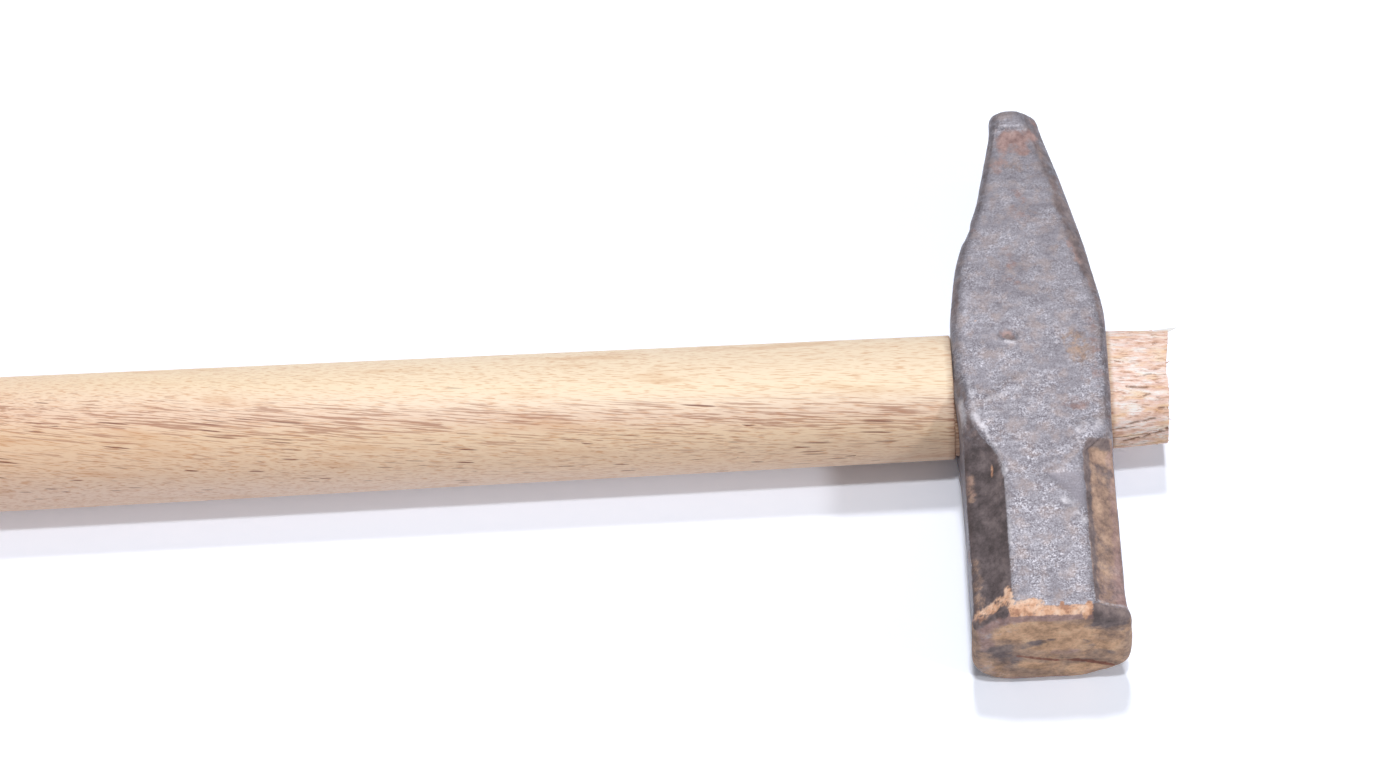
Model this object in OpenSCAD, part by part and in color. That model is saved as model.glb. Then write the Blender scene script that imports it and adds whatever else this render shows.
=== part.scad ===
// Forged cross-peen hammer lying on its cheek, with a turned wooden handle.
// Millimetres. X runs along the handle towards the stub that stands out of the eye,
// Y runs along the head towards the peen, and Z is up, square to the two cheeks.
// The origin is on the lower cheek, straight under the centre of the eye.

/* [Head] */
// Width of the head along the handle, across the eye
head_width = 31; // [28:0.5:36]
// Thickness of the head from cheek to cheek
head_thick = 28; // [26:0.5:34]
// Distance from the centre of the eye to the striking face
face_reach = 57.6; // [50:0.5:70]
// Distance from the centre of the eye to the peen edge
peen_reach = 60.6; // [50:0.5:72]
// How far the side beside the handle is drawn in between the eye and the face
near_waist = 1; // [0:0.1:1.5]
// How far the side beside the stub is drawn in between the eye and the face
far_waist = 0.4; // [0:0.1:1.5]
// Edge break left by the forge along the middle of the head
edge_break = 1.4; // [0.8:0.1:2.5]

/* [Striking end] */
// Width on the cheek of the chamfer on the upper corner beside the handle
near_top_width = 7.7; // [4:0.1:9]
// Height of that chamfer on the side
near_top_height = 4.4; // [3:0.1:9]
// Width on the cheek of the chamfer on the upper corner beside the stub
far_top_width = 6.1; // [4:0.1:9]
// Height of that chamfer on the side
far_top_height = 4.2; // [3:0.1:9]
// Width on the cheek of the chamfer on the lower corner beside the handle
near_low_width = 4.2; // [4:0.1:9]
// Height of that chamfer on the side
near_low_height = 5.4; // [3:0.1:9]
// Width on the cheek of the chamfer on the lower corner beside the stub
far_low_width = 7.7; // [4:0.1:9]
// Height of that chamfer on the side
far_low_height = 5.5; // [3:0.1:9]
// How far along each side the two lower corners are rounded over
low_soft = 3.4; // [1.2:0.1:3.6]
// How far past the eye's centre the chamfers beside the handle start to sink in
near_start = 11.5; // [8:0.5:16]
// Length over which they run out
near_run_out = 13; // [4:0.5:16]
// How far past the eye's centre the chamfers beside the stub start to sink in
far_start = 17.6; // [12:0.5:20]
// Length over which they run out
far_run_out = 4; // [3:0.5:12]
// How far the struck rim has spread past the side beside the handle
near_rim = 0.9; // [0:0.1:1.5]
// How far the struck rim has spread past the side beside the stub
far_rim = 1.7; // [0:0.1:1.8]
// Length of the spread rim
rim_length = 7; // [4:0.5:12]
// Radius of the rounding round the striking face
rim_round = 2.4; // [1:0.1:3.5]

/* [Peen] */
// Width of the blunt peen edge
peen_width = 8.2; // [7:0.2:14]
// Thickness of the head at the peen edge
peen_thick = 25.4; // [20:0.5:28]
// Distance from the centre of the eye to where the taper starts
taper_start = 9; // [7:0.5:14]
// Softness of the shoulder between the body and the taper
taper_soft = 4.5; // [1:0.5:8]
// Hollow of the tapered side beside the handle
near_hollow = 0.9; // [0:0.1:1.5]
// Swell of the shoulder beside the handle, over that hollow
near_shoulder = 1.3; // [0:0.1:2]
// Distance from the centre of the eye to the middle of that shoulder
shoulder_place = 25; // [20:0.5:30]
// Swell of the tapered side beside the stub
far_swell = 0.9; // [0:0.1:1.5]
// Bevel along the peen's upper edge beside the stub
peen_bevel = 2.8; // [1:0.1:3]
// Radius of the rounding round the peen edge
nose_round = 2.3; // [1:0.1:3]
// How far the struck peen edge has spread
lip_spread = 0.5; // [0:0.1:1]
// Length of the spread lip
lip_length = 6; // [3:0.5:10]

/* [Eye] */
// Length of the eye at its waist, along the head
eye_long = 23.2; // [20:0.2:24]
// Height of the eye at its waist, from cheek to cheek
eye_high = 17; // [14:0.2:19]
// How far the eye opens at each mouth, on every side
eye_flare = 0.7; // [0.2:0.1:1.2]
// Gap left round the tenon in the eye
eye_gap = 0.08; // [0.05:0.01:0.2]

/* [Handle] */
// Length of the handle from its butt to the end of the stub
handle_length = 310; // [260:5:380]
// Diameter of the grip
grip_diameter = 27.2; // [24:0.2:28]
// Length of the straight grip, from the butt
grip_length = 78; // [60:1:120]
// Width of the shoulder that seats on the head, past either end of the eye
seat_rim = 0.2; // [0.2:0.1:0.6]
// Radius of the rounding round the butt
butt_round = 5; // [2:0.5:9]
// Length of the stub that stands out of the eye
stub_length = 11.5; // [6:0.1:20]
// How far the stub narrows on every side towards its end
stub_taper = 0.5; // [0:0.1:1]

/* [Wedges] */
// Length of the wooden wedge
wood_wedge_length = 33; // [20:0.5:38]
// Thickness of the wooden wedge at the end of the stub
wood_wedge_head = 4.6; // [3:0.1:6]
// Thickness of the wooden wedge at its tip, which is the saw kerf's
kerf = 1.3; // [0.8:0.1:2]
// Depth of the kerf past the tip of the wooden wedge
kerf_past = 3; // [1:0.5:4]
// Length of a steel wedge
steel_wedge_length = 17; // [12:0.5:22]
// Width of a steel wedge
steel_wedge_width = 12.5; // [9:0.5:13]
// Thickness of a steel wedge at the end of the stub
steel_wedge_head = 2.8; // [2:0.1:3.6]
// Thickness of a steel wedge at its tip
steel_wedge_tip = 0.9; // [0.6:0.1:1.5]
// Distance between the centres of the two steel wedges
steel_wedge_pitch = 11; // [8:0.5:12]
// Angle by which a steel wedge leans from upright
steel_wedge_lean = 16; // [0:1:25]

/* [Hidden] */
$fn = 64;

eye_height = head_thick / 2;
seat_x = -head_width / 2;
exit_x = head_width / 2;
stub_x = exit_x + stub_length;
butt_x = stub_x - handle_length;
neck_diameter = eye_long + 2 * (eye_flare + seat_rim);
barbs = 3;
barb_bite = 0.35;

waist_start = 5;
waist_run = 11;
shoulder_reach = 14;
bevel_run = 17;
edge_soft = 1.1;
soft_limit = 0.45;
body_step = 2;
round_steps = 5;
edge_arc = 3;
low_arc = 5;
oval_steps = 12;
butt_steps = 8;
past = 1;

function ease(t) = t <= 0 ? 0 : t >= 1 ? 1 : t * t * (3 - 2 * t);
function mix(a, b, t) = a + (b - a) * t;
function unit(v) = v / norm(v);

// How far a quarter round of radius r draws in, at a depth d under its end face
function round_in(r, d) = d >= r ? 0 : r - sqrt(r * r - (r - d) * (r - d));

// Share of the taper that is done at y, from 0 at the eye to 1 at the peen edge
taper_length = peen_reach - taper_start;
taper_run = sqrt(pow(taper_length, 2) + pow(taper_soft, 2)) - taper_soft;
taper_drop = (head_width - peen_width) / 2;
function taper_share(y) =
    let (u = max(0, y - taper_start))
    (sqrt(u * u + taper_soft * taper_soft) - taper_soft) / taper_run;

// Half width of the head at y: drawn in at the waist, bowed by swell along the taper
function side(y, waist, swell) =
    let (t = taper_share(y))
    head_width / 2 - waist * ease((-y - waist_start) / waist_run) - taper_drop * t + swell * 4 * t * (1 - t);
function shoulder(y) = near_shoulder * ease(1 - abs(y - shoulder_place) / shoulder_reach);

// Metal that the blows have spread at the two ends
function spread(y, rim) =
    rim * pow(max(0, 1 - (face_reach + y) / rim_length), 2)
    + lip_spread * ease(1 - (peen_reach - y) / lip_length);

// What the rounding at either end takes off every side
function end_round(y) =
    round_in(rim_round, face_reach + y) + round_in(nose_round, peen_reach - y);

// Size of a corner's chamfer at y: the edge break, the forged chamfer, or the bevel on the peen
function corner(y, size, start, run, bevel) =
    edge_break
    + (size - edge_break) * ease((-y - start) / run)
    + (bevel - edge_break) * ease((y - taper_start) / bevel_run);
function near_corner(y, size) = corner(y, size, near_start, near_run_out, edge_break);
function far_corner(y, size, bevel) = corner(y, size, far_start, far_run_out, bevel);

// Section of the head at y: eight corners, clockwise seen from the striking face
function section(y) =
    let (
        off = end_round(y),
        near = side(y, near_waist, -near_hollow) + shoulder(y) + spread(y, near_rim) - off,
        far = side(y, far_waist, far_swell) + spread(y, far_rim) - off,
        thin = (head_thick - peen_thick) / 2 * ease(taper_share(y)),
        low = thin + off,
        top = head_thick - thin - off
    )
    [
        [near_corner(y, near_low_width) - near, low],
        [-near, low + near_corner(y, near_low_height)],
        [-near, top - near_corner(y, near_top_height)],
        [near_corner(y, near_top_width) - near, top],
        [far - far_corner(y, far_top_width, peen_bevel), top],
        [far, top - far_corner(y, far_top_height, peen_bevel)],
        [far, low + far_corner(y, far_low_height, edge_break)],
        [far - far_corner(y, far_low_width, edge_break), low]
    ];

// Softens the corners of a section with short curves: the two at either end of the
// list, which lie low on the head, further than the four upper ones
function soften(ring) = [
    for (i = [0 : len(ring) - 1])
        let (
            low = i < 2 || i > 5,
            reach = low ? low_soft : edge_soft,
            steps = (low ? low_arc : edge_arc) - 1,
            here = ring[i],
            before = ring[(i + len(ring) - 1) % len(ring)],
            after = ring[(i + 1) % len(ring)],
            a = here + unit(before - here) * min(reach, norm(before - here) * soft_limit),
            b = here + unit(after - here) * min(reach, norm(after - here) * soft_limit)
        )
        for (k = [0 : steps])
            let (t = k / steps)
            a * (1 - t) * (1 - t) + here * 2 * t * (1 - t) + b * t * t
];

// Stations along the head: close together where an end is rounded, wider between
function stations() =
    let (
        face_y = -face_reach,
        steps = round((face_reach + peen_reach - rim_round - nose_round) / body_step),
        from = face_y + rim_round,
        to = peen_reach - nose_round
    )
    concat(
        [for (k = [0 : round_steps - 1]) face_y + rim_round * (1 - cos(90 * k / round_steps))],
        [for (k = [0 : steps]) mix(from, to, k / steps)],
        [for (k = [round_steps - 1 : -1 : 0]) peen_reach - nose_round * (1 - cos(90 * k / round_steps))]
    );

// Solid through rings of as many points each, which run clockwise seen from before the first ring
module loft(rings) {
    n = len(rings[0]);
    last = len(rings) - 1;
    polyhedron(
        points = [for (ring = rings) for (p = ring) p],
        faces = concat(
            [[for (i = [0 : n - 1]) i]],
            [
                for (r = [0 : last - 1]) for (i = [0 : n - 1])
                    let (j = (i + 1) % n)
                    for (f = [[r * n + i, (r + 1) * n + i, (r + 1) * n + j], [r * n + i, (r + 1) * n + j, r * n + j]])
                        f
            ],
            [[for (i = [n - 1 : -1 : 0]) last * n + i]]
        ),
        convexity = 6
    );
}

// Oval of the eye in the plane at x, grown on every side
function oval(x, grow) =
    let (r = eye_high / 2 + grow, c = (eye_long - eye_high) / 2)
    [
        for (side = [1, -1]) for (k = [0 : oval_steps])
            let (a = 180 * k / oval_steps - 90)
            [x, side * (c + r * cos(a)), eye_height + side * r * sin(a)]
    ];

// Drifted eye, right through the head: narrowest at its waist, widest at the two mouths
module eye() {
    grow = eye_flare * (1 + past / exit_x);
    loft([oval(seat_x - past, grow), oval(0, 0), oval(exit_x + past, grow)]);
}

// Wood that fills the eye, spread at the far mouth by the wedges, and the stub past it.
// It is rooted in the turned part of the handle, because both are one stick of wood.
module tenon() {
    at_mouth = eye_flare - eye_gap;
    loft([
        oval(seat_x - past, at_mouth), oval(seat_x, at_mouth), oval(0, -eye_gap),
        oval(exit_x, at_mouth), oval(stub_x, at_mouth - stub_taper)
    ]);
}

module head() {
    color([0.45, 0.43, 0.44])
        difference() {
            loft([
                for (y = stations())
                    [for (p = soften(section(y))) [p[0], y, p[1]]]
            ]);
            eye();
        }
}

// Half of the handle's outline, turned about its axis: straight grip, taper, square shoulder
module turned_handle() {
    grip_r = grip_diameter / 2;
    body = seat_x - butt_x;
    translate([butt_x, 0, eye_height])
        rotate([0, 90, 0])
            rotate_extrude()
                polygon(concat(
                    [[0, 0]],
                    [
                        for (k = [0 : butt_steps])
                            let (a = 90 * k / butt_steps)
                            [grip_r - butt_round * (1 - sin(a)), butt_round * (1 - cos(a))]
                    ],
                    [[grip_r, grip_length], [neck_diameter / 2, body], [0, body]]
                ));
}

// Wooden wedge, wider than the tenon so that it is cut to the tenon's own outline
module wood_wedge_form(over) {
    tip_x = stub_x - wood_wedge_length;
    translate([0, eye_long, eye_height])
        rotate([90, 0, 0])
            linear_extrude(eye_long * 2)
                polygon([
                    [tip_x, -kerf / 2], [stub_x, -wood_wedge_head / 2],
                    [stub_x + over, -wood_wedge_head / 2], [stub_x + over, wood_wedge_head / 2],
                    [stub_x, wood_wedge_head / 2], [tip_x, kerf / 2]
                ]);
}

// Saw kerf that is left open past the tip of the wooden wedge
module kerf_slot() {
    foot_x = stub_x - wood_wedge_length - kerf_past;
    translate([foot_x, -eye_long, eye_height - kerf / 2])
        cube([kerf_past, eye_long * 2, kerf]);
}

// One barbed steel wedge, driven across the wooden one
module steel_wedge_form(place, over) {
    pitch = steel_wedge_length / barbs;
    function half_at(d) = mix(steel_wedge_head, steel_wedge_tip, d / steel_wedge_length) / 2;
    flank = [
        for (k = [0 : barbs - 1])
            for (p = [[k * pitch, half_at(k * pitch)], [(k + 1) * pitch, half_at((k + 1) * pitch) - barb_bite]])
                p
    ];
    outline = concat(
        [[-over, half_at(0)]],
        flank,
        [for (k = [len(flank) - 1 : -1 : 0]) [flank[k][0], -flank[k][1]]],
        [[-over, -half_at(0)]]
    );
    translate([stub_x, place * steel_wedge_pitch / 2, eye_height])
        rotate([place * steel_wedge_lean, 0, 0])
            translate([0, 0, -steel_wedge_width / 2])
                linear_extrude(steel_wedge_width)
                    polygon([for (p = outline) [-p[0], p[1]]]);
}

module handle() {
    color([0.84, 0.70, 0.50])
        difference() {
            union() {
                turned_handle();
                tenon();
            }
            wood_wedge_form(past);
            kerf_slot();
            for (place = [-1, 1])
                steel_wedge_form(place, past);
        }
}

module wood_wedge() {
    color([0.72, 0.54, 0.34])
        difference() {
            intersection() {
                wood_wedge_form(0);
                tenon();
            }
            for (place = [-1, 1])
                steel_wedge_form(place, past);
        }
}

module steel_wedge(place) {
    color([0.55, 0.55, 0.57])
        steel_wedge_form(place, 0);
}

head();
handle();
wood_wedge();
steel_wedge(-1);  // steel_wedge_1
steel_wedge(1);  // steel_wedge_2
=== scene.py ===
# Finish of a forged cross-peen hammer that lies on its cheek: scaled steel head, turned
# hardwood handle, and the wooden and steel wedges in the stub that stands out of the eye.
# X runs along the handle towards the stub, Y along the head towards the peen, Z is up.
import math
from functools import partial

import bmesh
import bpy
import numpy as np
from mathutils import Matrix, Vector, noise


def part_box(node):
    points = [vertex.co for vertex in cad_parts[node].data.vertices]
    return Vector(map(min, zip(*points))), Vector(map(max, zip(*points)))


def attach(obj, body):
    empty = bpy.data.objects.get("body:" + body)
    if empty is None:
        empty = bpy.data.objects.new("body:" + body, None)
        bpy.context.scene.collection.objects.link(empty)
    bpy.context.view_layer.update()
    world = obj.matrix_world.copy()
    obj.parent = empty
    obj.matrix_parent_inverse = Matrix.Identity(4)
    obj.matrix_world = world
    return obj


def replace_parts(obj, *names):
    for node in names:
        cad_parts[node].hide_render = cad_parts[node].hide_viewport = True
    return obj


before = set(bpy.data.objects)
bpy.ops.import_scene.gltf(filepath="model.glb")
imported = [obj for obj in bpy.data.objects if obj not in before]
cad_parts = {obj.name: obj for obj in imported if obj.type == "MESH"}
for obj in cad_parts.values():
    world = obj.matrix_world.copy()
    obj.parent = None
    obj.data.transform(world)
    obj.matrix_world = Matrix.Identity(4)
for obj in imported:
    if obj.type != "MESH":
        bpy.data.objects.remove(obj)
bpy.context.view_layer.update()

MM = 0.001


def node_box(name):
    """Lowest and highest corner of a CAD node, in millimetres."""
    low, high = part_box(name)
    return low / MM, high / MM


# Places worked out from the frame, in millimetres
head_low, head_high = node_box("head")
stick_low, stick_high = node_box("handle")
wedge_low = node_box("wood_wedge")[0]

FACE_Y = head_low.y
PEEN_Y = head_high.y
AXIS_Z = head_high.z / 2
STUB_X = stick_high.x
BUTT_X = stick_low.x

# Side of the head where the stub comes out, and the one where the handle's shoulder sits
EXIT_X = 15.5
SEAT_X = -EXIT_X

# Sizes of the turned handle
GRIP_DIAMETER = 27.2
GRIP_LENGTH = 78
NECK_DIAMETER = 25
BUTT_ROUND = 5
SHOULDER_BREAK = 0.35
OUT_OF_ROUND = 0.09

# Sizes of the tenon, whose section is two half rounds joined by flats, and of its sawn end
TENON_ROUND = 8.5
TENON_FLAT = 3.1
EYE_FLARE = 0.7
EYE_GAP = 0.08
STUB_TAPER = 0.5
ROOT = 3
SKEW = 1.3
SAW_PITCH = 1.1

# Sizes of the wedges and their slots
WEDGE_HEAD = 4.6
KERF = 1.3
KERF_PAST = 3
CUT_GAP = 0.06

# Edge of a quad of the finished meshes, and points round the tenon
HEAD_VOXEL = 0.42
WEDGE_VOXEL = 0.22
TENON_SIDES = 320


# Shared helpers

NODE_FAMILIES = ("ShaderNode", "GeometryNode", "FunctionNode", "Node")
SQUARE = ((-1, -1), (1, -1), (1, 1), (-1, 1))


def ramp(start, end, value):
    """0 at start and before it, 1 at end and past it, with a soft change between."""
    share = np.clip((value - start) / (end - start), 0, 1)
    return share * share * (3 - 2 * share)


def bell(value, centre, width):
    """1 at the centre, falling to nothing a few widths away."""
    return np.exp(-(((value - centre) / width) ** 2))


def rough(points, sizes, octaves=3, seed=0):
    """Fractal noise, about -1 to 1, whose features have the given real sizes in millimetres."""
    shift = np.array([17.3, 5.1, 29.7]) * (seed + 1)
    scaled = points / np.asarray(sizes, float) + shift
    return np.array([noise.fractal(Vector(p), 0.9, 2.0, octaves) for p in scaled])


def stroke(across, along, start, end, radius, blur=0.5):
    """1 on a stroke of that radius between two points of a plane, falling to 0 round it."""
    start, end = np.asarray(start, float), np.asarray(end, float)
    here = np.stack([across, along], axis=1)
    run = end - start
    length = max(float(run @ run), 1e-9)
    share = np.clip((here - start) @ run / length, 0, 1)
    distance = np.linalg.norm(here - start - share[:, None] * run, axis=1)
    return ramp(radius * (1 + blur), radius * (1 - blur), distance)


def get_surface(mesh):
    """Every vertex of the mesh, in millimetres, and its normal."""
    points, normals = np.empty((2, len(mesh.vertices) * 3))
    mesh.vertices.foreach_get("co", points)
    mesh.vertices.foreach_get("normal", normals)
    return points.reshape(-1, 3) / MM, normals.reshape(-1, 3)


def set_points(mesh, points):
    mesh.vertices.foreach_set("co", (points * MM).ravel())
    mesh.update()


def set_mask(mesh, name, values):
    """Keeps a number from 0 to 1 for each vertex, which the material reads by that name."""
    mask = mesh.attributes.get(name) or mesh.attributes.new(name, "FLOAT", "POINT")
    mask.data.foreach_set("value", np.clip(values, 0, 1).astype(np.float32))


def add_object(name, data):
    """Puts a mesh, a lamp or a camera into the scene."""
    thing = bpy.data.objects.new(name, data)
    bpy.context.scene.collection.objects.link(thing)
    return thing


def settle(thing):
    """Turns what the object's modifiers make into its own plain mesh."""
    bpy.context.view_layer.update()
    evaluated = thing.evaluated_get(bpy.context.evaluated_depsgraph_get())
    mesh = bpy.data.meshes.new_from_object(evaluated)
    thing.modifiers.clear()
    thing.data = mesh
    return mesh


def copy_node(name, node):
    """A copy of a CAD node with its loose triangles merged."""
    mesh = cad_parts[node].data.copy()
    mesh.materials.clear()
    work = bmesh.new()
    work.from_mesh(mesh)
    bmesh.ops.remove_doubles(work, verts=work.verts, dist=0.002 * MM)
    work.to_mesh(mesh)
    work.free()
    return add_object(name, mesh)


def remesh(thing, voxel, smoothing):
    """Rebuilds the object with even quads of about one voxel, and rounds its edges."""
    net = thing.modifiers.new("net", "REMESH")
    net.mode = "VOXEL"
    net.voxel_size = voxel * MM
    soften = thing.modifiers.new("soften", "SMOOTH")
    soften.factor = 0.5
    soften.iterations = smoothing
    return settle(thing)


def combine(thing, tool, operation):
    """Boolean of the object with a tool, which stays as it is."""
    step = thing.modifiers.new("combine", "BOOLEAN")
    step.operation = operation
    step.solver = "MANIFOLD"
    step.object = tool
    settle(thing)


def loft(name, rings):
    """Closed shell through rings of as many points, with a flat end at either side."""
    count = len(rings[0])
    points = np.concatenate(rings)
    faces = [list(range(count))[::-1]]
    for r in range(len(rings) - 1):
        for i in range(count):
            j = (i + 1) % count
            faces.append([r * count + i, r * count + j, (r + 1) * count + j, (r + 1) * count + i])
    faces.append([(len(rings) - 1) * count + i for i in range(count)])
    mesh = bpy.data.meshes.new(name)
    mesh.from_pydata((points * MM).tolist(), [], faces)
    work = bmesh.new()
    work.from_mesh(mesh)
    bmesh.ops.recalc_face_normals(work, faces=work.faces)
    work.to_mesh(mesh)
    work.free()
    return add_object(name, mesh)


def smooth_shading(thing, angle):
    thing.data.shade_smooth()
    thing.data.set_sharp_from_angle(angle=math.radians(angle))


def paint(colour):
    """An sRGB hex colour as linear red, green, blue and alpha."""
    parts = [int(colour[i : i + 2], 16) / 255 for i in (1, 3, 5)]
    return [c / 12.92 if c <= 0.04045 else ((c + 0.055) / 1.055) ** 2.4 for c in parts] + [1]


def add_node(tree, kind, inputs=(), stops=(), **settings):
    """Adds a node with its settings, and gives its first output in use. The kind goes without its
    family's prefix. The inputs, by name or in their order, are set or linked. The stops of a colour
    ramp are pairs of a place and a grey level or a hex colour."""
    family = next(f for f in NODE_FAMILIES if hasattr(bpy.types, f + kind))
    node = tree.nodes.new(family + kind)
    for name, value in settings.items():
        setattr(node, name, value)
    for key, value in inputs.items() if isinstance(inputs, dict) else enumerate(inputs):
        named = [s for s in node.inputs if s.enabled and s.name == key]
        socket = named[0] if named else node.inputs[key]
        if isinstance(value, bpy.types.NodeSocket):
            tree.links.new(value, socket)
        else:
            socket.default_value = paint(value) if isinstance(value, str) else value
    for i, (place, value) in enumerate(stops):
        bar = node.color_ramp.elements
        stop = bar[i] if i < len(bar) else bar.new(place)
        stop.position = place
        stop.color = paint(value) if isinstance(value, str) else (value, value, value, 1)
    return next((s for s in node.outputs if s.enabled), None)


# Settings of a mix of two colours
MIX = {"data_type": "RGBA"}
TIMES = {"data_type": "RGBA", "blend_type": "MULTIPLY"}

# Points per square metre to pick from, before those that lie too close are dropped
DENSE = 1e7


def new_material(name):
    """An empty material, and the function that adds nodes to it."""
    material = bpy.data.materials.new(name)
    material.use_nodes = True
    material.node_tree.nodes.clear()
    return material, partial(add_node, material.node_tree)


def run_tree(thing, tree, values):
    """Runs a Geometry Nodes tree on the object with named inputs, and keeps its result as plain mesh."""
    step = thing.modifiers.new(tree.name, "NODES")
    step.node_group = tree
    for item in tree.interface.items_tree:
        if item.item_type == "SOCKET" and item.in_out == "INPUT" and item.name in values:
            step[item.identifier] = values[item.name]
    settle(thing)


def new_tree(name, sizes):
    """A Geometry Nodes tree with a named input for each size or count, its inputs, and the function
    that adds nodes to it."""
    tree = bpy.data.node_groups.new(name, "GeometryNodeTree")
    face = tree.interface
    face.new_socket("Geometry", in_out="INPUT", socket_type="NodeSocketGeometry")
    for size, start in sizes.items():
        kind = "NodeSocketInt" if isinstance(start, int) else "NodeSocketFloat"
        face.new_socket(size, in_out="INPUT", socket_type=kind).default_value = start
    face.new_socket("Material", in_out="INPUT", socket_type="NodeSocketMaterial")
    face.new_socket("Geometry", in_out="OUTPUT", socket_type="NodeSocketGeometry")
    add = partial(add_node, tree)
    return tree, add("GroupInput").node.outputs, add


def end_tree(add, given, geometry):
    """Ends a tree as real mesh with its material."""
    real = add("RealizeInstances", {"Geometry": geometry})
    dressed = add("SetMaterial", {"Geometry": real, "Material": given["Material"]})
    add("GroupOutput", {"Geometry": dressed})


# Forged head

# Middle of the forged chamfers on the upper corners, and where they start
NEAR_CHAMFER_X = -10.8
FAR_CHAMFER_X = 12.3
NEAR_CHAMFER_START = -12
FAR_CHAMFER_START = -18

# Marks on the upper cheek by coat: start and end in X and Y, radius and strength
CHEEK_MARKS = {
    "bare_steel": [
        (-3.2, 55.9, 3.8, 55.8, 0.4, 0.35), (-4.6, 4.3, -2.8, 3.9, 0.5, 0.7),
        (-14.8, -8.5, -14.2, -14.5, 0.8, 0.48), (-12.7, -5, -11.7, -12.6, 0.9, 0.38),
        (-11.7, -12.6, -8.8, -18.2, 0.8, 0.42), (-8.2, -19.6, -6.7, -25, 0.7, 0.45),
        (-6.6, -25, -6.5, -44, 0.5, 0.38), (-9.6, -9, 2, -4.6, 0.8, 0.3),
        (-10, -12, 6, -9, 2.4, 0.24), (8.6, -16.6, 12.6, -15.2, 1.3, 0.4),
        (4.4, -31.8, 8.2, -37, 1.1, 0.42), (-4.5, -38, 5, -42, 2.6, 0.22),
    ],
    "pink_rust": [
        (-1.2, 54, 2.8, 53.6, 1.4, 0.65), (-2.8, 53, -2.6, 47.5, 1.2, 0.5),
        (-0.8, 52, 1.6, 50, 1.7, 0.6), (-4.6, 46.5, -3.4, 45, 1, 0.45),
        (-0.6, 39.6, 0.8, 37.8, 1.1, 0.42), (-1.4, 35.2, 0.6, 33.4, 1.6, 0.4),
        (-2.9, 25.2, -2.3, 22, 1.4, 0.38), (-3.6, 18.8, -1.8, 18, 1.3, 0.36),
        (-9.6, 31, -8.4, 29.8, 1, 0.34), (12.6, 8, 13, 1, 1.3, 0.36),
        (12.4, -2, 13.6, -6, 1.4, 0.35), (-4.7, 6.2, -3.7, 5.7, 1.2, 0.6),
        (6.8, -10.4, 9.8, -10.9, 1.5, 0.42), (9.4, 27.2, 9.7, 26.1, 0.7, 0.5),
        (10.2, 24.6, 11, 22.6, 0.9, 0.45),
    ],
    "brown_rust": [
        (-3.4, 46.8, 1.4, 45.6, 1.6, 0.28), (8.8, 4.4, 11, 0.5, 2.9, 0.41),
        (-13.4, -24.4, -13.3, -29, 0.9, 0.55), (-13.9, -43, -13.2, -52, 1.2, 0.42),
    ],
    "dark_stain": [
        (2.2, 34.9, 4.3, 33.8, 0.5, 0.5), (-4.4, 5.6, -3.2, 5, 0.7, 0.6),
        (-14.3, 18.6, -14.3, 12, 0.9, 0.6), (-14.6, -9.6, -12.6, -15.4, 1.1, 0.4),
        (5, 51, 9.2, 35.5, 1.3, 0.5), (9, 35.5, 12.8, 20.6, 1.9, 0.6),
        (13.2, 20.6, 15, 10, 1.2, 0.5), (-5.4, 50, -11.6, 31, 0.5, 0.35),
        (-14.9, -4.2, -14.2, -8, 1.3, 0.55), (2.2, -35.2, 3.2, -36, 0.6, 0.35),
        (-8.8, -54.6, -8.6, -56.4, 0.6, 0.6),
    ],
    "orange_rust": [
        (-9.2, -23, -9.3, -25.2, 0.28, 0.6), (-7.7, -50.8, -7.3, -54.8, 0.75, 0.9),
        (-6.2, -54.6, -1.8, -54.2, 0.9, 0.9), (2.5, -54.6, 2.6, -55.4, 0.45, 0.7),
        (-13.2, -54.8, -9.6, -53.2, 1.4, 0.7), (7.7, -55, 7, -57, 0.6, 0.9),
    ],
}

# Marks on the striking face by coat: start and end in X and Z, radius and strength
FACE_MARKS = {
    "ochre_rust": [
        (-6.4, 23, 6, 20.8, 3.2, 0.75), (-2.6, 17.2, 3.4, 16, 2, 0.6),
        (8.6, 15.4, 12, 15, 1.4, 0.5), (-5.6, 8.8, -2, 7.8, 1.1, 0.6),
        (5.2, 5.2, 9.2, 6.4, 1.4, 0.6), (-10.6, 20.6, -8.6, 22, 1.2, 0.4),
    ],
    "dark_stain": [
        (-10.4, 13.4, -7.2, 10.8, 2.8, 0.62), (-9.4, 15.4, -3, 17.4, 1.7, 0.52),
        (-3, 17.6, 0.6, 18.8, 0.7, 0.45), (7.2, 17.2, 9, 12.2, 1.2, 0.45),
        (10.6, 13.2, 12.4, 12.4, 0.8, 0.6), (7.6, 23.4, 13.6, 22.2, 1.3, 0.5),
        (-7.5, 6.2, 0.4, 4.2, 1.7, 0.35), (-14.6, 18, -13.8, 6, 0.9, 0.4),
        (15.3, 20, 15.2, 8, 0.8, 0.4),
    ],
    "pink_rust": [
        (-12.4, 21, -11.8, 15.6, 1.8, 0.62), (1.5, 13.6, 5, 13, 1.4, 0.5),
        (-9, 2.2, 4, 1.6, 0.8, 0.6), (-12.6, 9, -11, 5, 1.6, 0.4),
    ],
    "bare_steel": [(-12.8, 20, -12.6, 6, 1.6, 0.2)],
    "red_rust": [
        (-6, 12.4, 1.6, 9.6, 0.4, 0.7), (1.6, 9.6, 5.2, 9.2, 0.32, 0.6),
        (5.2, 9.2, 12.6, 6.4, 0.55, 0.8),
    ],
}

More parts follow.
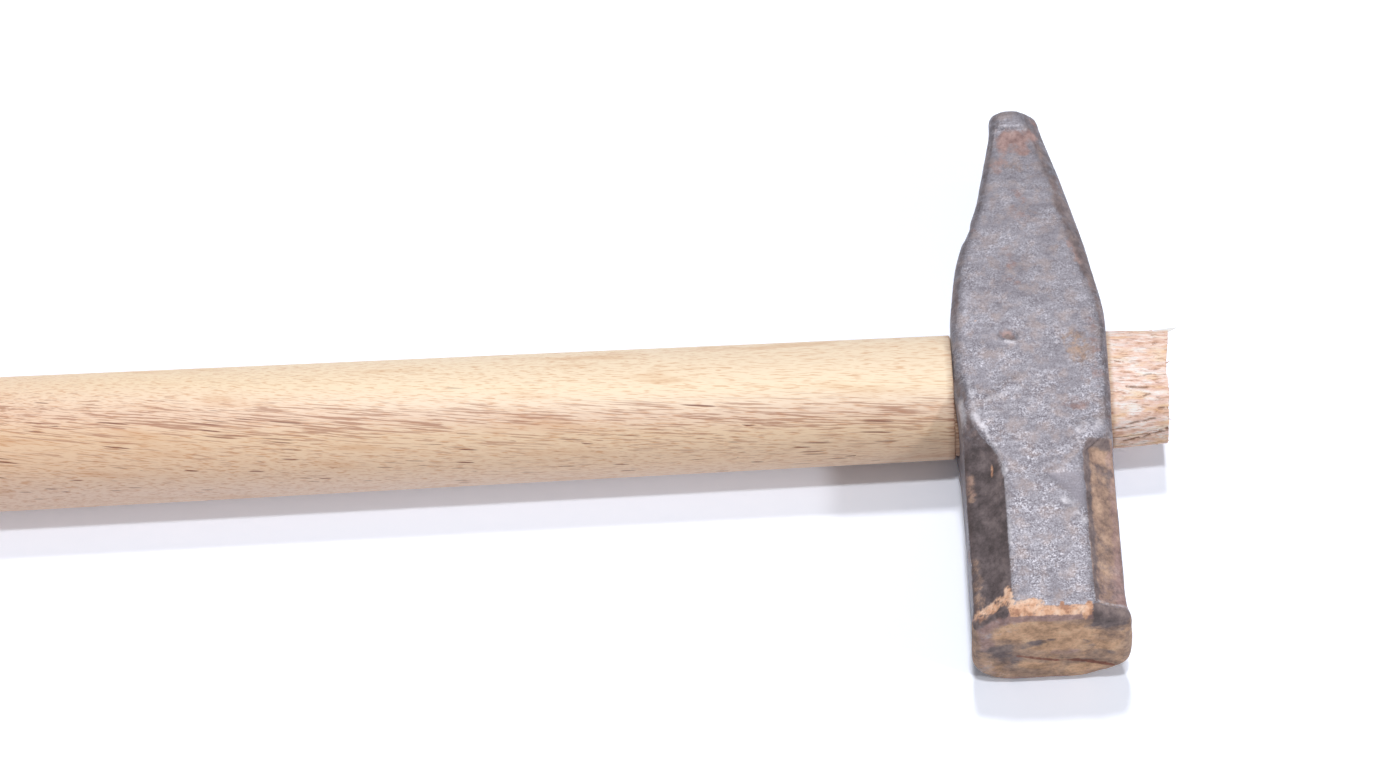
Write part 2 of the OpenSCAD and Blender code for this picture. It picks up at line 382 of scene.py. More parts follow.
# Coats over the steel's skin, from the lowest to the top one, and the tones of their mottling
COATS = {
    "dark_scale": [(0.35, "#463d3f"), (0.5, "#5f5457"), (0.65, "#786c6e")],
    "brown_rust": [(0.35, "#806a62"), (0.5, "#a98c7c"), (0.65, "#c7a792")],
    "ochre_rust": [(0.35, "#a8866c"), (0.52, "#d3aa8c"), (0.7, "#e6c2a2")],
    "pink_rust": [(0.35, "#8a6f6d"), (0.55, "#ab8e8b"), (0.7, "#c2a6a2")],
    "dark_stain": [(0.35, "#5a4f51"), (0.5, "#786a6b"), (0.65, "#8f7f7c")],
    "red_rust": [(0.35, "#6e4439"), (0.6, "#93604f")],
    "bare_steel": [(0.35, "#9c99a1"), (0.6, "#c9c6ce")],
    "orange_rust": [(0.38, "#b98a72"), (0.46, "#e4b394"), (0.6, "#f6d3bc")],
}


def forge_marks():
    """Tree that dents a surface with scattered round marks: hammer blows if large, scale pits if small."""
    sizes = {"Spacing": 0.006, "Radius": 0.003, "Depth": 0.0001, "Seed": 1}
    tree, given, add = new_tree("forge_marks", sizes)
    scatter = {"Mesh": given["Geometry"], "Distance Min": given["Spacing"], "Density Max": DENSE}
    scatter["Seed"] = given["Seed"]
    blows = add("DistributePointsOnFaces", scatter, distribute_method="POISSON")
    nearest = add("SampleNearest", {"Geometry": blows})
    here = add("InputPosition")
    at_blow = {"Geometry": blows, "Value": here, "Index": nearest}
    centre = add("SampleIndex", at_blow, data_type="FLOAT_VECTOR")
    gap = add("VectorMath", [here, centre], operation="DISTANCE")
    fall = {"Value": gap, "From Max": given["Radius"], "To Min": -1, "To Max": 0}
    dent = add("MapRange", fall, interpolation_type="SMOOTHSTEP")
    force = {"Min": 0.15, "Max": 1.0, "ID": nearest, "Seed": given["Seed"]}
    weight = add("RandomValue", force, data_type="FLOAT")
    sunk = add("Math", [dent, weight], operation="MULTIPLY")
    depth = add("Math", [sunk, given["Depth"]], operation="MULTIPLY")
    outward = add("InputNormal")
    shift = add("VectorMath", {0: outward, "Scale": depth}, operation="SCALE")
    moved = add("SetPosition", {"Geometry": given["Geometry"], "Offset": shift})
    end_tree(add, given, moved)
    return tree


def shape_head(mesh):
    """Forges the even form: hollow chamfers, a rolled lip, a capped peen and broad unevenness."""
    points, normals = get_surface(mesh)
    x, y, z = points.T
    nx, ny, nz = normals.T
    tilt = np.degrees(np.arctan2(np.abs(nx), np.abs(nz)))
    nose = np.degrees(np.arctan2(-ny, nz))
    top = ramp(0, 0.35, nz)
    near, far = ramp(0, -2, x), ramp(0, 2, x)
    cheek = ramp(24, 10, tilt) * ramp(0.6, 0.85, np.abs(nz))
    face = ramp(0.55, 0.85, -ny)
    slope = ramp(12, 22, tilt) * ramp(78, 64, tilt) * ramp(0.75, 0.5, np.abs(ny))
    start = np.where(x < 0, NEAR_CHAMFER_START, FAR_CHAMFER_START)
    chamfer = slope * ramp(start + 1, start - 2, y)
    from_axis = np.hypot(np.maximum(np.abs(y) - TENON_FLAT, 0), z - AXIS_Z)
    skin = 1 - ramp(TENON_ROUND + 2.2, TENON_ROUND + 1.2, from_axis) * ramp(0.75, 0.4, np.abs(nx))
    ragged = rough(points, (1.6, 1.6, 1.6), 3, 7)

    rise = 0.14 * rough(points, (9, 13, 9), 2, 1)
    rise += 0.03 * rough(points, (2.2, 2.2, 2.2), 3, 2)

    # The upper chamfers are hollow, with a steep first step under the cheek
    rise -= 0.35 * bell(x, NEAR_CHAMFER_X, 2.6) * near * top * chamfer
    rise -= 0.55 * bell(x, FAR_CHAMFER_X - 1, 1.9) * far * top * chamfer
    rise -= 0.45 * stroke(x, y, (12.6, -19.6), (12.2, -21.5), 1.6, 0.8) * top

    # Metal rolled over the ends of the chamfers by the blows on the face
    rolled = ramp(FACE_Y + 3.0, FACE_Y + 2.3, y + 0.35 * ragged)
    corner = ramp(7.6, 9.2, x) * ramp(18.5, 20.5, z)
    lip = (0.45 * corner + 0.25 * near * top * slope) * rolled * ramp(0.85, 0.5, nx)
    rise += lip * ramp(FACE_Y - 0.2, FACE_Y + 0.8, y)
    rise += 0.45 * ramp(9, 13, x) * bell(z, 13, 7) * ramp(FACE_Y + 5, FACE_Y + 1, y)

    # Cap on the struck peen, and the hollow behind it
    cap = ramp(PEEN_Y - 5.4, PEEN_Y - 4.8, y - 0.25 * rough(points, (1.6, 9, 9), 2, 4))
    rise += 0.28 * cap * cheek
    rise -= 0.45 * stroke(x, y, (-2.6, 53.2), (2.6, 52.6), 2.4, 0.9) * cheek * (1 - cap)

    # Old hits and folds on the upper cheek
    rise -= 0.45 * stroke(x, y, (-4.7, 6.1), (-3.5, 5.6), 0.95) * top
    rise += 0.14 * stroke(x, y, (-4.8, 4.6), (-3.2, 4.2), 0.5, 0.8) * top
    rise -= 0.5 * stroke(x, y, (-15.2, -4.0), (-14.8, -7.6), 1.3, 0.6) * top
    slanted = ramp(-0.3, 0.1, (x - 1.6) + (y + 26.2) * 0.9)
    smooth_cut = ramp(-25.8, -26.1, y) * ramp(9.6, 9.2, x) * slanted * top
    rise -= 0.16 * smooth_cut * ramp(-33, -26, y)
    rise += 0.14 * stroke(x, y, (-12.5, -6.0), (-11.4, -13.0), 0.9, 0.9) * top
    rise += 0.12 * stroke(x, y, (-9.5, -9.0), (-2.0, -4.0), 0.8, 0.9) * top
    rise += 0.2 * stroke(x, y, (8.6, -16.2), (12.6, -15.4), 1.3, 0.8) * top
    rise -= 0.35 * stroke(x, y, (-11.9, 30.6), (-10.9, 32.2), 1.2, 0.9)

    # The face is a little crowned and bruised
    rise += 0.25 * face * ramp(15, 2, np.hypot(x, z - AXIS_Z))
    rise += 0.07 * face * rough(points, (5, 5, 3), 3, 5)
    rise -= 0.15 * face * stroke(x, z, (-3.0, 12.2), (12.0, 7.2), 0.7, 0.8)

    # Nicks along every worn edge
    edge = ramp(14, 28, tilt) * ramp(76, 62, tilt) * (1 - chamfer)
    rise -= 0.35 * np.maximum(rough(points, (2.5, 4, 2.5), 2, 6) - 0.2, 0) * edge
    moved = points + (rise * skin)[:, None] * normals
    moved[:, 2] = np.maximum(moved[:, 2], 0)
    set_points(mesh, moved)

    coat = {name: np.zeros(len(points)) for name in COATS}
    broad = rough(points, (7, 9, 7), 3, 8)
    flank = ramp(60, 80, tilt) * (1 - face)
    upper_end = ramp(FACE_Y + 2.6, FACE_Y + 3.2, y)

    # Fire scale was left in the chamfer beside the handle, and it rusted in the one beside the stub. The
    # dark scale beside the handle is partly painted shade, for a chamfer turned away from the lamp at the
    # right
    by_handle, by_stub = chamfer * near, chamfer * far * upper_end
    coat["dark_scale"] += 0.95 * by_handle - 0.3 * near * top * bell(y, -16.5, 3.5)
    # The dark stain along x = -8, where the hollow chamfer steps down under the cheek, is painted shade in
    # that step
    coat["dark_stain"] += by_handle * top * (0.3 * bell(y, -20.5, 5) + 0.35 * bell(x, -8.0, 1.0))
    coat["brown_rust"] += 0.15 * by_handle * top * bell(y, -18.5, 4) * ramp(-10.5, -12.5, x)
    # Past x = -14.4 the chamfer's outer edge gets pink rust that is partly a painted highlight, where that
    # edge catches the light
    coat["pink_rust"] += by_handle * (0.35 * ramp(0.1, 0.6, broad) + 0.5 * ramp(-14.4, -15.2, x))
    coat["brown_rust"] += 0.95 * by_stub
    ochre = 0.25 * bell(x, 11.4, 1.6) * ramp(0.1, -0.3, broad) + 0.3 * ramp(13.2, 14.4, x)
    coat["ochre_rust"] += by_stub * top * ochre
    coat["dark_stain"] += by_stub * (0.38 * ramp(0, 0.45, broad) + 0.24 * top * bell(y, -25, 6))
    coat["pink_rust"] += by_stub * top * (0.4 * ramp(-38, -50, y) + 0.5 * ramp(12.4, 14.2, x))
    rim_line = ramp(-19, -21, y) * bell(x, 9.5 + 0.4 * ragged, 0.7) * upper_end
    coat["dark_stain"] += 0.75 * far * top * rim_line
    coat["dark_stain"] += 0.85 * top * stroke(x, y, (10.6, -19.4), (13.6, -19.4), 1.0, 0.9)
    coat["bare_steel"] += 0.5 * far * top * slope * bell(y, FACE_Y + 3.3, 0.45)

    # Sides, lower cheek and worn edges. The dark scale on the edges is partly painted shade where they turn
    # down from the lit top, and the bare steel on the near edge towards the face is a painted highlight
    painted_highlight_edge = near * ramp(12, 2, y)
    coat["dark_scale"] += 0.46 * edge * (1 - 0.6 * painted_highlight_edge) + flank * (0.3 - 0.18 * near + 0.45 * broad)
    coat["bare_steel"] += 0.24 * edge * painted_highlight_edge
    coat["pink_rust"] += 0.4 * edge * far * ramp(-0.2, 0.4, broad) + 0.5 * flank * ramp(0, 0.6, -broad)
    coat["brown_rust"] += 0.55 * flank * ramp(0.25, 0.6, -broad)
    coat["brown_rust"] += 0.6 * (1 - top) * cheek * ramp(0.05, 0.5, broad)

    # Striking face and the rust along its upper rim
    rim = ramp(FACE_Y + 2.7, FACE_Y + 2.1, y)
    coat["brown_rust"] += face + rim
    coat["ochre_rust"] += 0.34 * face * (1 + 0.8 * broad)
    coat["dark_stain"] += rolled * corner * ramp(22.5, 24.5, z + 0.6 * ragged)
    coat["dark_stain"] += 0.8 * rim * top * near * stroke(x, y, (-15.0, -56.4), (-8.8, -55.4), 0.9, 0.6)
    coat["dark_stain"] += 0.5 * bell(nose, 58, 9) * rim * ramp(0, 0.5, ragged)
    blaze = rim * ramp(-8.0, -7.2, x) * ramp(8.6, 7.8, x) * ramp(52, 40, nose + 9 * ragged)
    coat["orange_rust"] += blaze * (1 + 0.3 * ragged)
    coat["pink_rust"] += 0.7 * rim * top * ramp(9.2, 8.4, x)
    spots = rough(points, (0.9, 0.9, 0.9), 3, 9)

    for marks, plane, where in ((CHEEK_MARKS, (x, y), top), (FACE_MARKS, (x, z), face)):
        for name, strokes in marks.items():
            for *ends, radius, strength in strokes:
                mark = stroke(*plane, ends[:2], ends[2:], radius, 0.75)
                coat[name] += strength * where * mark * (1 + 0.4 * ragged)
    coat["orange_rust"] *= 1 - 0.55 * ramp(0.1, 0.4, spots)
    for name, values in coat.items():
        set_mask(mesh, name, values * skin)

    # Handling rubs the cheeks brighter towards the face, where the painted glints of the speckle also grow
    # stronger, except on one smooth facet
    set_mask(mesh, "worn", ramp(48, -34, y) * (1 - 0.5 * flank))
    set_mask(mesh, "smooth", smooth_cut)


def forged_steel():
    """Forged carbon steel under fire scale: a mauve grey skin with a sandy speckle whose bright grains are
    partly painted glints, darker and browner where no tool has rubbed it, and rusted where the skin has
    broken."""
    material, add = new_material("forged_scaled_steel")
    place = add("TexCoord").node.outputs["Object"]
    masks = [add("Attribute", attribute_name=m).node.outputs["Fac"] for m in ("worn", "smooth", *COATS)]
    worn, smooth = masks[:2]

    # Clouds of about 6 mm, ripples of 3.3 mm by 1.3 mm, specks of 0.7 mm, sand of 0.35 mm, rubbed places
    # of 4 mm, blooms of 3 mm, flakes of 1.6 mm and mottling of 3.3 mm: scale, detail and roughness
    along = add("Mapping", {"Vector": place, "Scale": (300, 780, 780)})
    layers = []
    for where, scale, detail, roughness in (
        (place, 160, 4, 0.5),
        (along, 1, 3, 0.6),
        (place, 1400, 3, 0.65),
        (place, 2900, 1, 0.6),
        (place, 260, 4, 0.6),
        (place, 330, 4, 0.6),
        (place, 620, 5, 0.7),
        (place, 300, 5, 0.65),
    ):
        sizes = {"Vector": where, "Scale": scale, "Detail": detail, "Roughness": roughness}
        layers.append(add("TexNoise", sizes))
    cloud, ripple, speck, sand, rubbed, bloom, flake, mottle = layers
    # Specks and sand make a grit whose bright grains are partly painted glints
    both = add("Math", [speck, sand], operation="ADD")
    grit_and_glint = add("Math", [both, 1.0], operation="SUBTRACT")

    # Rubbing brings the speckle and its painted glints out in some places, and leaves others dull
    rubbed = add("MapRange", {"Value": rubbed, "From Min": 0.4, "From Max": 0.64, "To Min": 0.36})
    force = add("MapRange", {"Value": worn, "To Min": 0.52, "To Max": 1.22})
    force = add("Math", [force, rubbed], operation="MULTIPLY")
    tone = add("MapRange", {"Value": worn, "To Max": 0.055})
    for layer, share in ((rubbed, 0.08), (cloud, 0.25), (ripple, 0.34), (grit_and_glint, force)):
        tone = add("Math", [layer, share, tone], operation="MULTIPLY_ADD")
    skin = [(0.2, "#645f68"), (0.4, "#827f88"), (0.54, "#9a98a2"), (0.72, "#c1bfc9")]
    colour = add("ValToRGB", {"Fac": tone}, skin)

    # The oldest skin has a warm bloom, and the facet that was ground flat is painted darker, a painted
    # shade on that facet
    warm = add("MapRange", {"Value": bloom, "From Min": 0.48, "From Max": 0.66, "To Max": 0.4})
    ground = add("Math", [smooth, 0.8], operation="MULTIPLY")
    for share, tint in ((warm, "#97857f"), (ground, "#7a7680")):
        colour = add("Mix", {"Factor": share, "A": colour, "B": tint}, **MIX)

    # Every coat shares its torn edge and its dusty mottling
    ragged = add("Math", [flake, 0.5], operation="SUBTRACT")
    dust = add("ValToRGB", {"Fac": speck}, [(0.3, 0.6), (0.5, 0.92), (0.7, 1.0)])
    rusted = 0.0
    for (coat, tones), mask in zip(COATS.items(), masks[2:]):
        torn = add("Math", [ragged, 1.2, mask], operation="MULTIPLY_ADD")
        limits = {"Value": torn, "From Min": 0.2, "From Max": 0.75}
        share = add("MapRange", limits, interpolation_type="SMOOTHSTEP")
        body = add("ValToRGB", {"Fac": mottle}, tones)
        body = add("Mix", {"Factor": 0.8, "A": body, "B": dust}, **TIMES)
        colour = add("Mix", {"Factor": share, "A": colour, "B": body}, **MIX)
        if coat.endswith("rust"):
            rusted = add("Math", [rusted, share], operation="MAXIMUM")

    metal = add("MapRange", {"Value": rusted, "To Min": 0.35, "To Max": 0.0})
    gloss = add("MapRange", {"Value": rusted, "To Min": 0.5, "To Max": 0.82})
    bump = add("Bump", {"Height": both, "Strength": 0.5, "Distance": 0.06 * MM})
    surface = {"Base Color": colour, "Metallic": metal, "Roughness": gloss, "Normal": bump}
    add("OutputMaterial", {"Surface": add("BsdfPrincipled", surface)})
    return material


def make_head(material):
    head = copy_node("forged_head", "head")
    mesh = remesh(head, HEAD_VOXEL, 3)
    shape_head(mesh)
    marks = forge_marks()
    blows = {"Spacing": 5.5 * MM, "Radius": 3.2 * MM, "Depth": 0.06 * MM, "Seed": 3, "Material": material}
    run_tree(head, marks, blows)
    pits = {"Spacing": 1.3 * MM, "Radius": 0.8 * MM, "Depth": 0.05 * MM, "Seed": 8, "Material": material}
    run_tree(head, marks, pits)
    smooth_shading(head, 60)
    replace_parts(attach(head, "root"), "head")


# Turned handle with its tenon

# Checks on the stub: start and end as place along X and distance round the stub, and radius
STUB_CHECKS = [
    (18.8, 17.4, 23, 17.6, 0.17), (22.4, 15.2, 24, 15, 0.12), (16.2, 23.9, 18.4, 23.9, 0.15),
    (19, 23.2, 24.2, 22.6, 0.14), (17.6, 26.6, 27, 24.7, 0.17), (25.2, 24.8, 27.2, 24.5, 0.22),
    (25, 21, 27, 21.2, 0.15), (22, 19, 23.4, 18.8, 0.13), (16.8, 12, 18.6, 12.4, 0.12),
    (17.5, -21, 24, -21.4, 0.17), (16.5, -10, 20, -9.4, 0.15), (22, -15, 26.8, -15.4, 0.17),
    (18, 3, 25, 3.6, 0.15),
]

# Sliver at the end of the stub, from its root to its tip
SLIVER = ((25.6, 9.9, 18.2), (30.2, 11.1, 18.4))


def turned_handle():
    """Tree that turns the handle: a round butt, a straight grip and a taper up to the shoulder."""
    sizes = {
        "Butt": BUTT_X * MM,
        "Shoulder": SEAT_X * MM,
        "Axis height": AXIS_Z * MM,
        "Grip radius": GRIP_DIAMETER / 2 * MM,
        "Grip length": GRIP_LENGTH * MM,
        "Neck radius": NECK_DIAMETER / 2 * MM,
        "Butt rounding": BUTT_ROUND * MM,
        "Shoulder break": SHOULDER_BREAK * MM,
        "Out of round": OUT_OF_ROUND * MM,
        "Rings": 200,
        "Sides": 192,
    }
    tree, given, add = new_tree("turned_handle", sizes)
    start = add("CombineXYZ", {"X": given["Butt"], "Z": given["Axis height"]})
    end = add("CombineXYZ", {"X": given["Shoulder"], "Z": given["Axis height"]})
    axis = add("CurvePrimitiveLine", {"Start": start, "End": end})
    rings = add("ResampleCurve", {"Curve": axis, "Count": given["Rings"]})
    span = add("Math", [given["Shoulder"], given["Butt"]], operation="SUBTRACT")

    # Rings lie closer together towards both ends, where the outline turns
    part = add("SplineParameter")
    turn = add("Math", [part, math.pi], operation="MULTIPLY")
    cosine = add("Math", [turn], operation="COSINE")
    eased = add("Math", [cosine, -0.5, 0.5], operation="MULTIPLY_ADD")
    place = add("Math", [eased, span, given["Butt"]], operation="MULTIPLY_ADD")
    spot = add("CombineXYZ", {"X": place, "Z": given["Axis height"]})
    spaced = add("SetPosition", {"Geometry": rings, "Position": spot})

    # The radius follows from where each moved ring stands
    stands = add("InputPosition")
    ring_x = add("SeparateXYZ", {"Vector": stands})
    from_butt = add("Math", [ring_x, given["Butt"]], operation="SUBTRACT")
    from_shoulder = add("Math", [given["Shoulder"], ring_x], operation="SUBTRACT")
    taper = {"Value": from_butt, "From Min": given["Grip length"], "From Max": span}
    taper.update({"To Min": given["Grip radius"], "To Max": given["Neck radius"]})
    radius = add("MapRange", taper)
    for depth, rounding in ((from_butt, given["Butt rounding"]), (from_shoulder, given["Shoulder break"])):
        # A quarter round takes r - sqrt(r * r - (r - depth) * (r - depth)) off the radius
        short = add("Math", [rounding, depth], operation="SUBTRACT")
        reach = add("Math", [short, 0.0], operation="MAXIMUM")
        square = add("Math", [reach, reach], operation="MULTIPLY")
        whole = add("Math", [rounding, rounding], operation="MULTIPLY")
        left = add("Math", [whole, square], operation="SUBTRACT")
        height = add("Math", [left], operation="SQRT")
        taken = add("Math", [rounding, height], operation="SUBTRACT")
        radius = add("Math", [radius, taken], operation="SUBTRACT")
    wheel = add("CurvePrimitiveCircle", {"Resolution": given["Sides"], "Radius": 1.0})
    sweep = {"Curve": spaced, "Profile Curve": wheel, "Scale": radius, "Fill Caps": True}
    turned = add("CurveToMesh", sweep)

    # Scraped and sanded by hand, so not quite round
    here = add("InputPosition")
    stretched = add("VectorMath", [here, (25, 90, 90)], operation="MULTIPLY")
    wave = add("TexNoise", {"Vector": stretched, "Scale": 1.0, "Detail": 2.0})
    lean = add("Math", [wave, 0.55], operation="SUBTRACT")
    swell = add("Math", [lean, given["Out of round"]], operation="MULTIPLY")
    outward = add("InputNormal")
    shift = add("VectorMath", {0: outward, "Scale": swell}, operation="SCALE")
    end_tree(add, given, add("SetPosition", {"Geometry": turned, "Offset": shift}))
    return tree


def tenon_ring(x, grow, share=1.0):
    """Outline of the tenon at x, grown on every side, or a smaller copy of it for the end face."""
    angle = np.linspace(0, 2 * math.pi, TENON_SIDES, endpoint=False)
    sine, cosine = np.sin(angle), np.cos(angle)
    part = TENON_ROUND + grow
    flat = part / np.maximum(np.abs(sine), 1e-9)
    half_round = TENON_FLAT * np.abs(cosine) + np.sqrt(np.maximum(part**2 - (TENON_FLAT * sine) ** 2, 0))
    radius = share * np.where(np.abs(flat * cosine) <= TENON_FLAT, flat, half_round)
    return np.stack([np.full(TENON_SIDES, x), radius * cosine, AXIS_Z + radius * sine], axis=1)


def make_tenon():
    """Wood that fills the eye, and the chopped stub past it with its sawn end."""
    mouth = EYE_FLARE - EYE_GAP
    rings = [tenon_ring(SEAT_X - ROOT, mouth)]
    for x in np.linspace(SEAT_X, EXIT_X, 22):
        rings.append(tenon_ring(x, EYE_FLARE * abs(x) / EXIT_X - EYE_GAP))
    for share in np.linspace(0.024, 1, 42):
        rings.append(tenon_ring(EXIT_X + share * (STUB_X - EXIT_X), mouth - STUB_TAPER * share))
    for share in np.linspace(0.975, 0.03, 34):
        rings.append(tenon_ring(STUB_X, mouth - STUB_TAPER, share))
    return loft("tenon", rings)


def chop_stub(mesh):
    """Chisel cuts, torn fibres, checks and a sawn end on the stub."""
    points, normals = get_surface(mesh)
    x, y, z = points.T
    stub = ramp(EXIT_X + 0.1, EXIT_X + 1.2, x)
    end = ramp(0.6, 0.9, normals[:, 0]) * ramp(STUB_X - 1, STUB_X - 0.2, x)
    wall = stub * (1 - end)
    turn = np.arctan2(z - AXIS_Z, y) * TENON_ROUND
    unrolled = np.stack([x, turn, np.zeros(len(x))], axis=1)

    # Each chisel cut takes a flat about 2.6 mm wide, and the wood splits where the cut stops
    rise = 0.16 * rough(unrolled, (9, 2.6, 1), 2, 11) + 0.05 * rough(unrolled, (4, 0.8, 1), 3, 12)
    rise -= 0.25 * np.maximum(rough(unrolled, (3.5, 0.9, 1), 2, 13) - 0.35, 0)
    wavy = turn + 0.16 * rough(unrolled, (1.5, 30, 1), 4, 15)
    check = np.zeros(len(x))
    for *ends, radius in STUB_CHECKS:
        check = np.maximum(check, stroke(x, wavy, ends[:2], ends[2:], 0.9 * radius, 0.9))
    check *= ramp(-0.6, -0.1, rough(unrolled, (1.5, 1.5, 1), 3, 16))
    rise -= 0.22 * check
    rise *= wall

    # Saw marks across the end, its coarse grain, and a step where the cut broke through
    rise += 0.05 * np.sin((y + 0.35 * z) * 2 * math.pi / SAW_PITCH) * end
    rise += 0.06 * rough(points, (4, 1.1, 1.1), 3, 14) * end
    rise += 0.25 * ramp(-1.8, -2.6, y) * ramp(-7.4, -6.6, y) * ramp(3, 6, z - AXIS_Z) * end
    moved = points + rise[:, None] * normals
    # The saw ran a little askew
    moved[:, 0] += SKEW * ramp(-2, 11, y) * np.clip((x - EXIT_X) / (STUB_X - EXIT_X), 0, 1)
    set_points(mesh, moved)
    set_mask(mesh, "torn", stub)
    set_mask(mesh, "check", 0.9 * check * wall)


def wedge_plate(name, gap, kerf):
    """Tapered plate of the wooden wedge, grown by a gap, with the kerf past its tip if asked."""
    reach = TENON_ROUND + TENON_FLAT + 6
    tip_half, end_half = KERF / 2 + gap, WEDGE_HEAD / 2 + gap
    past = 3
    past_half = end_half + past * (end_half - tip_half) / (STUB_X - wedge_low.x)
    stations = [(wedge_low.x, tip_half), (STUB_X + past, past_half)]
    if kerf:
        stations.insert(0, (wedge_low.x - KERF_PAST, tip_half))
    rings = [[[x, reach * a, AXIS_Z + half * b] for a, b in SQUARE] for x, half in stations]
    return loft(name, rings)


def slot_tool(node):
    """The steel wedge's form with its clearance, run out past the end of the stub."""
    tool = copy_node("slot_tool", node)
    points = get_surface(tool.data)[0]
    middle = (points.min(0) + points.max(0)) / 2
    size = points.max(0) - points.min(0)
    grown = middle + (points - middle) * (size + 2 * CUT_GAP) / size
    grown[points[:, 0] > STUB_X - 0.5, 0] += 2
    set_points(tool.data, grown)
    return tool


def splinters():
    """Tree that sets thin torn fibres on a surface, leaning towards the end of the stub."""
    sizes = {"Spacing": 0.0027, "Length": 0.001, "Thickness": 0.00012, "Lean": 0.3, "Seed": 5}
    tree, given, add = new_tree("splinters", sizes)
    scatter = {"Mesh": given["Geometry"], "Distance Min": given["Spacing"], "Density Max": DENSE}
    scatter["Seed"] = given["Seed"]
    spread = add("DistributePointsOnFaces", scatter, distribute_method="POISSON").node.outputs
    needle = {"Vertices": 5, "Side Segments": 1, "Fill Segments": 1, "Radius Top": 0.02 * MM}
    needle.update({"Radius Bottom": given["Thickness"], "Depth": given["Length"]})
    fibre = add("MeshCone", needle)
    side = add("VectorMath", {0: spread["Normal"], "Scale": given["Lean"]}, operation="SCALE")
    stray = {"Min": (0.7, -0.35, -0.35), "Max": (1.3, 0.35, 0.35), "Seed": given["Seed"]}
    aim = add("RandomValue", stray, data_type="FLOAT_VECTOR")
    heading = add("VectorMath", [side, aim], operation="ADD")
    turned = add("AlignRotationToVector", {"Vector": heading}, axis="Z")
    odds = {"Min": (0.7, 0.7, 0.3), "Max": (1.5, 1.5, 1.4), "Seed": given["Seed"]}
    size = add("RandomValue", odds, data_type="FLOAT_VECTOR")
    planted = {"Points": spread["Points"], "Instance": fibre, "Rotation": turned, "Scale": size}
    end_tree(add, given, add("InstanceOnPoints", planted))
    return tree


